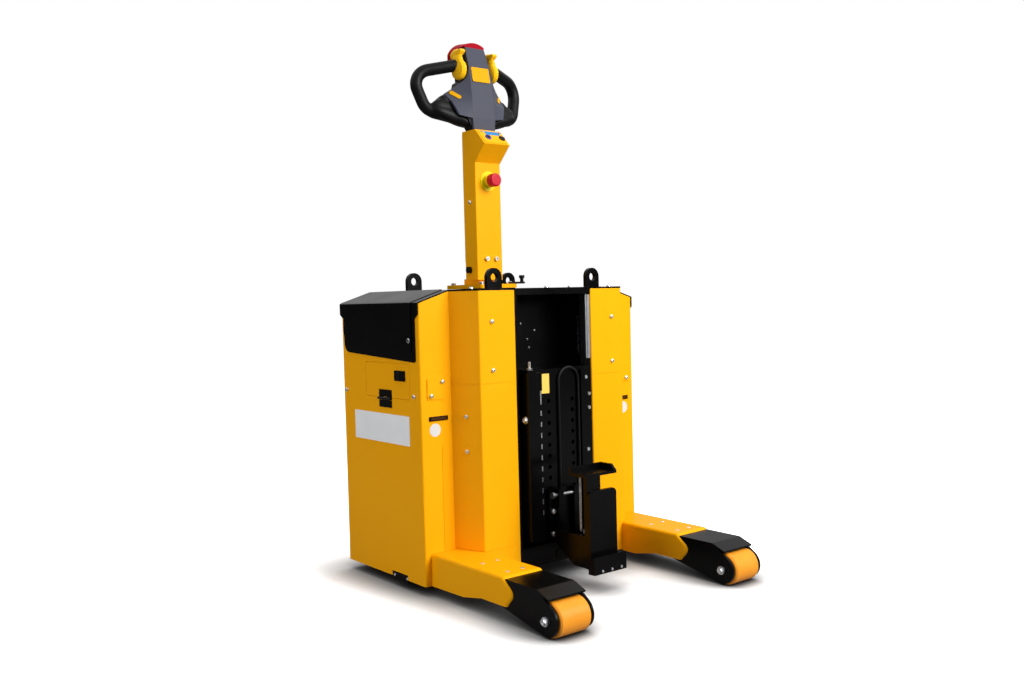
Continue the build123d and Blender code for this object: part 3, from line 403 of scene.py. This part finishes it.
# %% [markdown]
# The fixings are socket screws. A button head is a low dome with a hexagon sunk in it, a cap
# head is a tall cylinder, and a leg's countersunk screws lie nearly flush. Nuts and bolts are
# hexagons, and the bolts stay as the spanner left them.

# %% Kinds of fixing, as radius and height pairs
button_head = turned([(6.4, 0), (6.4, 2.2), (5.8, 4.2), (4.2, 5.6), (2.8, 6.0), (2.8, 2.4), (0, 2.4)],
                     hexed=[2.8])
small_head = turned([(4.0, 0), (4.0, 1.4), (3.4, 2.6), (1.8, 3.0), (1.8, 1.2), (0, 1.2)], hexed=[1.8])
cap_head = turned([(7.0, 0), (7.0, 6.4), (6.2, 7.4), (3.4, 7.4), (3.4, 3.0), (0, 3.0)], hexed=[3.4])
flush_head = turned([(6.4, 0), (6.0, 0.5), (3.0, 0.8), (2.6, 0.2), (0, 0.2)], hexed=[2.6])
axle_nut = turned([(11.0, 0), (11.0, 1.4), (8.6, 1.4), (8.6, 5.6), (7.4, 6.6), (4.0, 6.6), (4.0, 5.2),
                   (0, 5.2)], hexed=[8.6])
bolt_head = turned([(5.6, 0), (5.6, 3.6), (4.8, 4.4), (0, 4.4)], hexed=[5.6])
spanner_turn = 0.3
bolt_head.transform(Matrix.Rotation(spanner_turn, 4, "Z"))
stud = turned([(9.0, 0), (9.0, 6.0), (4.0, 6.4), (4.0, 22.0), (3.2, 23.0), (0, 23.0)], hexed=[9.0])

# %% Screws of the body
oblique = (0.362, 0.932, 0)
cover_screw_sink = 5.5
body_pairs = [
    # kind, place along, across and up, outlook
    (button_head, (column_front, 224, 738), ahead),
    (button_head, (column_front, 224, 606), ahead),
    (button_head, (-2.75, 283.5, 482), oblique),
    (button_head, (-2.75, 283.5, 387), oblique),
    (button_head, (-441.7, pod_side, 541), leftward),
    (button_head, (-77.3, pod_side, 541), leftward),
    (cap_head, (-91, cover_side - cover_screw_sink, 692), leftward),
    (button_head, (plate_front, 331, 579), ahead),
    (button_head, (plate_front, 368, 542), ahead),
    (flush_head, (126.25, 338, leg_face), upward),
    (flush_head, (126.25, 290, leg_face), upward),
    (flush_head, (230.25, 338, leg_face), upward),
    (flush_head, (230.25, 290, leg_face), upward),
    (small_head, (-204.75, pod_side, 31.5), leftward),
    (small_head, (-139.75, pod_side, 31.5), leftward),
    (button_head, (0, 258, deck_face), upward),
    (axle_nut, (axle_along, axle_end, axle_height), leftward),
    (axle_nut, (axle_along, leg_inner, axle_height), rightward),
]
deck_edge = [(button_head, (27, across, deck_face), upward) for across in (-13, 76)]
stamped("body_screws", "chassis", "zinc_plating", deck_edge, body_pairs)

# %% Screws of the recess
recess_places = ((-28, 724), (24, 703), (-5, 678), (1, 654), (-4, 812), (23, 812))
stamped("recess_screws", "chassis", "blackened_steel",
        [(small_head, (recess_back, across, height), ahead) for across, height in recess_places])

# %% Screws of the carriage
carriage_fixings = [
    # kind, place along, across and up, outlook
    (bolt_head, (mast_front, 97, 567), ahead),
    (bolt_head, (mast_front, 109, 518), ahead),
    (bolt_head, (mast_front, 108, 478), ahead),
    (bolt_head, (mast_front, 101, 357), ahead),
    (cap_head, (pad_front, -47, 199), ahead),
    (cap_head, (pad_front, -47, 135), ahead),
    (small_head, (nose_front, -30, 61), ahead),
    (small_head, (nose_front, 5, 61), ahead),
    (small_head, (nose_front, 40, 61), ahead),
    (stud, (55, -106, mast_cap), upward),
    (axle_nut, (52, mast_side, 461), rightward),
]
stamped("carriage_screws", "carriage", "zinc_plating", carriage_fixings)

# %% Screws of the tiller and its base
tail_thick = 18.0
arm_foot = [(cap_head, (arm_front, across, 922), ahead) for across in (-13, 23)]
arm_pairs = [
    # kind, place along, across and up, outlook
    (button_head, (-277.75, arm_side, 1094), leftward),
    (small_head, (-304, arm_side, 888), leftward),
    (small_head, (arm_back, 40, 1208), astern),
    (small_head, (arm_back, 40, 1034), astern),
]
base_pairs = [
    (cap_head, (-224, 54, base_top), upward),
    (cap_head, (-370, 54, base_top), upward),
    (cap_head, (-330, 17, base_top + tail_thick), upward),
]
stamped("tiller_screws", "tiller", "zinc_plating", arm_foot, arm_pairs)
stamped("base_screws", "steering", "zinc_plating", pairs=base_pairs)

# %% [markdown]
# Plates and signs are thin sheets and discs. The right side carries a plain silver plate, each
# pod has a white disc under its pull, and a pale film sits at the top of the carriage's scale.

# %% Plates and signs
bm = bmesh.new()
sheet(bm, width=294, height=82, thick=0.8, corner=3, place=(-252.75, -pod_side, 444), out=rightward)
piece("silver_plate", bm, "chassis", "satin_aluminium_film")

sign = turned([(18, 0), (18, 0.3), (17.7, 0.5), (0, 0.5)], steps=40)
stamped("white_discs", "chassis", "white_film",
        pairs=[(sign, (pod_front, 356, 449), ahead)])

# A dark brown sheet inside each pull paints the shade in the slot.
pull_front = high_face("pull_slots", "x")
bm = bmesh.new()
for side in (-1, 1):
    sheet(bm, width=50, height=7, thick=0.3, corner=1, place=(pull_front, side * 345, 480), out=ahead)
piece("pull_slot_painted_shade", bm, "chassis", "painted_shade_brown")

bm = bmesh.new()
sheet(bm, width=29, height=55, thick=0.4, corner=1, place=(mast_front, -55.5, 558.5), out=ahead)
piece("scale_film", bm, "carriage", "pale_yellow_film")

# %% [markdown]
# The control panel lies on the sloping front of the tiller's box. Its places are given across
# the slope and up it, and turned to the frame along the slope's own direction.

# %% Control panel
slope_foot = Vector((box_front, 0, 1263))
slope_up = Vector((-0.6996, 0, 0.7145))
slope_out = Vector((slope_up.z, 0, -slope_up.x))
panel_thick = 1.6


def on_slope(across, up_slope, lift=panel_thick):
    """A place on the panel, or under it where the lift is less."""
    return slope_foot + Vector((0, across, 0)) + up_slope * slope_up + lift * slope_out


bm = bmesh.new()
sheet(bm, width=86, height=56, thick=panel_thick, corner=4, place=on_slope(0, 33, lift=0), out=slope_out)
piece("panel_plate", bm, "tiller", "yellow_powder_coat")

bm = bmesh.new()
sheet(bm, width=54, height=17, thick=0.4, corner=2, place=on_slope(7, 50.5), out=slope_out)
piece("panel_film", bm, "tiller", "blue_film")

# %% Buttons and screws of the panel
button_ring = turned([(10.5, 0), (10.5, 2.0), (9.7, 2.8), (7.2, 2.8), (7.2, 1.0), (0, 1.0)], steps=32)
button_cap = turned([(7.0, 0), (7.0, 2.6), (6.0, 3.4), (0, 3.6)], steps=32)
ringed_button = on_slope(-19, 29)
dark_button = on_slope(33, 29)
stamped("panel_ring", "tiller", "violet_film", [(button_ring, ringed_button, slope_out)])
stamped("panel_buttons", "tiller", "black_moulding",
        [(button_cap, ringed_button, slope_out), (button_cap, dark_button, slope_out),
         (button_ring, dark_button, slope_out)])
stamped("panel_screws", "tiller", "zinc_plating",
        [(small_head, on_slope(across, 54), slope_out) for across in (-30, 38)])

# %% [markdown]
# A moulding has no hard joins. The loop grips and thumb switches start as copies of their solids
# with swellings added where the hand rests, and three modifiers turn each heap into one skin: a
# voxel remesh joins it, a smoothing melts the creases, and a small push restores the thickness.

# %% Soft mouldings of the head
def soft_moulding(name, node, swellings, voxel_mm, rounds, regrow_mm, finish):
    """A node's solid with mirrored swellings, joined into one smooth skin that replaces it."""
    bm = bmesh.new()
    bm.from_mesh(nodes[node].data)
    for place, radii, lean in swellings:
        for side in (-1, 1):
            move = Matrix.Translation(Vector((place[0], side * place[1], place[2])) * mm)
            move = move @ Matrix.Rotation(side * math.radians(lean), 4, "X")
            move = move @ Matrix.Diagonal(Vector(radii) * mm).to_4x4()
            bmesh.ops.create_icosphere(bm, subdivisions=4, radius=1.0, matrix=move)
    made = piece(name, bm, "tiller", finish)
    join = made.modifiers.new("join", "REMESH")
    join.mode = "VOXEL"
    join.voxel_size = voxel_mm * mm
    join.use_smooth_shade = True
    melt = made.modifiers.new("melt", "SMOOTH")
    melt.factor = 0.5
    melt.iterations = rounds
    push = made.modifiers.new("regrow", "DISPLACE")
    push.strength = regrow_mm * mm
    push.mid_level = 0.0
    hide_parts(node)


grip_boots = [
    # place, radii, lean in degrees
    ((-312, 99, 1370), (20, 56, 31), 17),
    ((-303, 80, 1351), (18, 74, 21), 14.7),
]
thumb_pads = [
    ((-300, 60, 1497), (31, 15, 31), 0),
    ((-314, 60, 1544), (28, 10, 17), 0),
    ((-306, 62, 1522), (24, 12, 24), 0),
]
soft_moulding("soft_grips", "grips", grip_boots, voxel_mm=2.4, rounds=30, regrow_mm=1.2,
              finish="black_moulding")
soft_moulding("soft_thumbs", "thumb_wheels", thumb_pads, voxel_mm=1.3, rounds=10, regrow_mm=0.4,
              finish="yellow_moulding")

# %% [markdown]
# Small hardware: the latch levers and hinge ends on the side flaps, a drawn rail inside the
# recess, and two short chains, whose links hang alternately crosswise and end on. The hinge ends
# stand just inside the axis that the flap's joint gives.

# %% Latches, hinge ends and the rail
latch_front = 405.0
for side, name in ((-1, "right"), (1, "left")):
    bm = bmesh.new()
    sheet(bm, width=15, height=24, thick=0.8, corner=1.5, place=(-149, side * latch_front, 595),
          out=(0, side, 0))
    piece("latch_lever_" + name, bm, "flap_" + name, "black_moulding")

hinge_inset = 0.5
flap_axis = Vector({joint["name"]: joint for joint in frame["joints"]}["flap_left_open"]["pos_m"]) / mm
hinge_place = (low_face("flap_hinges", "x"), flap_axis.y - hinge_inset, flap_axis.z)
hinge_end = turned([(4.0, 0), (4.0, 2.6), (3.0, 4.0), (0, 4.4)])
stamped("hinge_ends", "chassis", "black_powder_coat",
        pairs=[(hinge_end, hinge_place, astern)])

rail_across = 130
rail_middle = 712
rail_length = 186
rail_thick = 3.0
bm = bmesh.new()
sheet(bm, width=17, height=rail_length, thick=rail_thick, corner=4,
      place=(recess_front, rail_across, rail_middle), out=ahead)
sheet(bm, width=7, height=rail_length, thick=1.4, corner=2,
      place=(recess_front + rail_thick, rail_across, rail_middle), out=ahead)
piece("rail_strip", bm, "chassis", "bright_steel")

# %% Chains
link_width = 8.0
link_stretch = 1.7
link_wire = 1.1
link_pitch = link_stretch * (link_width - 2 * link_wire) - link_wire
wire_sides = 8
wire_angles = [math.radians(360) * step / wire_sides for step in range(wire_sides + 1)]
wire = [(link_width / 2 - link_wire + link_wire * math.cos(angle), link_wire * math.sin(angle))
        for angle in wire_angles]
link = turned(wire, steps=16)
link.transform(Matrix.Diagonal((1, link_stretch, 1, 1)))


def chain(bm, along, across, high, low):
    """Hang links from one height to another, every second one turned by a quarter."""
    for number in range(int((high - low) / link_pitch)):
        out = ahead if number % 2 else leftward
        stamp(bm, link, (along, across, high - number * link_pitch), out)


hook_drop = 4
bm = bmesh.new()
chain(bm, along=160, across=-22, high=low_face("coupling_shelf", "z") - hook_drop, low=142)
stamp(bm, link, (160, -12, 150), (0.9, 0.4, 0))
piece("coupling_chain", bm, "carriage", "galvanised_links")
bm = bmesh.new()
chain(bm, along=-8, across=135.5, high=740, low=625)
piece("recess_chain", bm, "chassis", "blackened_steel")

# %% [markdown]
# The studio is a pale floor that runs on into a white world. Away from the machine the floor
# answers the camera with light of its own, so that it reaches white in the open. Close to the
# machine it is plain paper, which keeps the soft shadow, and a painted contact shadow darkens
# both its colour and its own light where things stand on it.

# %% Floor
floor_half_width = 14.0
bm = bmesh.new()
bmesh.ops.create_grid(bm, x_segments=1, y_segments=1, size=floor_half_width)
floor_mesh = bpy.data.meshes.new("floor")
bm.to_mesh(floor_mesh)
bm.free()
floor = bpy.data.objects.new("floor", floor_mesh)
bpy.context.collection.objects.link(floor)
print("floor", 2 * floor_half_width, "m wide")

# %% Paper of the floor
white = (1, 1, 1, 1)
paper = bpy.data.materials.new("studio_paper")
paper.use_nodes = True
tree = paper.node_tree
shader = tree.nodes["Principled BSDF"]
shader.inputs["Roughness"].default_value = 0.9
shader.inputs["Specular IOR Level"].default_value = 0.0
shader.inputs["Emission Color"].default_value = white
floor_mesh.materials.append(paper)


def worked_out(tree, operation, first, second):
    """One number from two, by a named operation."""
    return add_node(tree, "ShaderNodeMath", {0: first, 1: second}, operation=operation).outputs[0]


def seen_by_camera(tree, path):
    """One where the camera looks, straight or through glass, and zero for light on its way."""
    return worked_out(tree, "MAXIMUM", path.outputs["Is Camera Ray"], path.outputs["Is Transmission Ray"])


# %% Tone of the paper, with a painted contact shadow where things stand
contact_reach = 0.16
contact_samples = 16
contact_depth = 2.2
path = add_node(tree, "ShaderNodeLightPath")
seen = seen_by_camera(tree, path)
# Ambient occlusion paints a contact shadow into the paper's colour close to the machine.
open_air = add_node(tree, "ShaderNodeAmbientOcclusion", {"Distance": contact_reach},
                    samples=contact_samples)
painted_contact_shade = worked_out(tree, "POWER", open_air.outputs["AO"], contact_depth)
pale = mixed(tree, painted_contact_shade, linear("#101010"), linear("#FAFAFA"))
tree.links.new(mixed(tree, seen, linear("#8C8C8C"), pale), shader.inputs["Base Color"])

# %% Light of the paper, full beyond the reach of the shadow
shadow_reach = 0.34
floor_glow = 0.42
mirrored_low = 0.06
footprint = [(cad_box[1][i] - cad_box[0][i]) / 2 for i in (0, 1)] + [0]
away = add_node(tree, "ShaderNodeTexCoord").outputs["Object"]
for operation, other in (("ABSOLUTE", (0, 0, 0)), ("SUBTRACT", footprint), ("MAXIMUM", (0, 0, 0))):
    away = add_node(tree, "ShaderNodeVectorMath", {0: away, 1: other}, operation=operation).outputs[0]
gap = add_node(tree, "ShaderNodeVectorMath", {0: away}, operation="LENGTH").outputs["Value"]
glow = remapped(tree, gap, (0, shadow_reach), (floor_glow, 1.0), interpolation_type="SMOOTHSTEP")
in_mirrors = worked_out(tree, "MULTIPLY", path.outputs["Is Glossy Ray"], mirrored_low)
answer = worked_out(tree, "MAXIMUM", in_mirrors, seen)
# The painted contact shadow darkens the paper's own light as well.
shaded_glow = worked_out(tree, "MULTIPLY", glow, painted_contact_shade)
tree.links.new(worked_out(tree, "MULTIPLY", shaded_glow, answer), shader.inputs["Emission Strength"])
print("paper glows from", floor_glow, "to 1 over", shadow_reach, "m")

# %% [markdown]
# The world is white to the camera, and dim as a light. What metal and gloss mirror of it is dark
# at the horizon and bright higher up, as in a room with its lamps under the ceiling, so that
# upright black sheets stay black while the sloping lids take a grey sheen.

# %% World
ambient_strength = 0.16
mirrored_high = 1.05
mirrored_rise = (0.1, 0.45)
world = bpy.data.worlds.new("studio")
bpy.context.scene.world = world
world.use_nodes = True
tree = world.node_tree
sky = tree.nodes["Background"]
sky.inputs["Color"].default_value = white
path = add_node(tree, "ShaderNodeLightPath")
outlook = add_node(tree, "ShaderNodeTexCoord").outputs["Generated"]
height = add_node(tree, "ShaderNodeSeparateXYZ", {0: outlook}).outputs[2]
in_mirrors = remapped(tree, height, mirrored_rise, (mirrored_low, mirrored_high))
as_light = remapped(tree, path.outputs["Is Glossy Ray"], (0, 1), (ambient_strength, in_mirrors))
strength = remapped(tree, seen_by_camera(tree, path), (0, 1), (as_light, 1.0))
tree.links.new(strength, sky.inputs["Strength"])
bpy.context.scene.view_settings.view_transform = "Standard"
print("world light", ambient_strength, "mirrored up to", mirrored_high)

# %% [markdown]
# Three soft boxes light it. A big one overhead whitens the floor, the key stands ahead of the
# machine and to its left, and a low weak one on the right opens the shaded side. Only the key is
# mirrored, so it alone of the three puts glints on the screws.

# %% Soft boxes
def soft_box(name, place, aim, size, power, mirrored=False):
    """An area lamp of a size in metres and a power in watts, hidden from the camera."""
    lamp = bpy.data.lights.new(name, "AREA")
    lamp.shape = "RECTANGLE"
    lamp.size, lamp.size_y = size
    lamp.energy = power
    box = bpy.data.objects.new(name, lamp)
    box.location = place
    box.rotation_euler = (Vector(aim) - Vector(place)).to_track_quat("-Z", "Y").to_euler()
    box.visible_camera = False
    box.visible_glossy = mirrored
    bpy.context.collection.objects.link(box)
    print("lamp", name, power, "W")


soft_box("overhead", place=(0, 0.3, 4.2), aim=(0, 0, 0), size=(4.0, 4.0), power=86)
soft_box("key", place=(3.8, 1.35, 2.6), aim=(0, 0, 0.6), size=(2.6, 2.6), power=270, mirrored=True)
soft_box("side_fill", place=(-0.4, -3.4, 0.9), aim=(0, 0, 0.5), size=(2.4, 1.4), power=38)
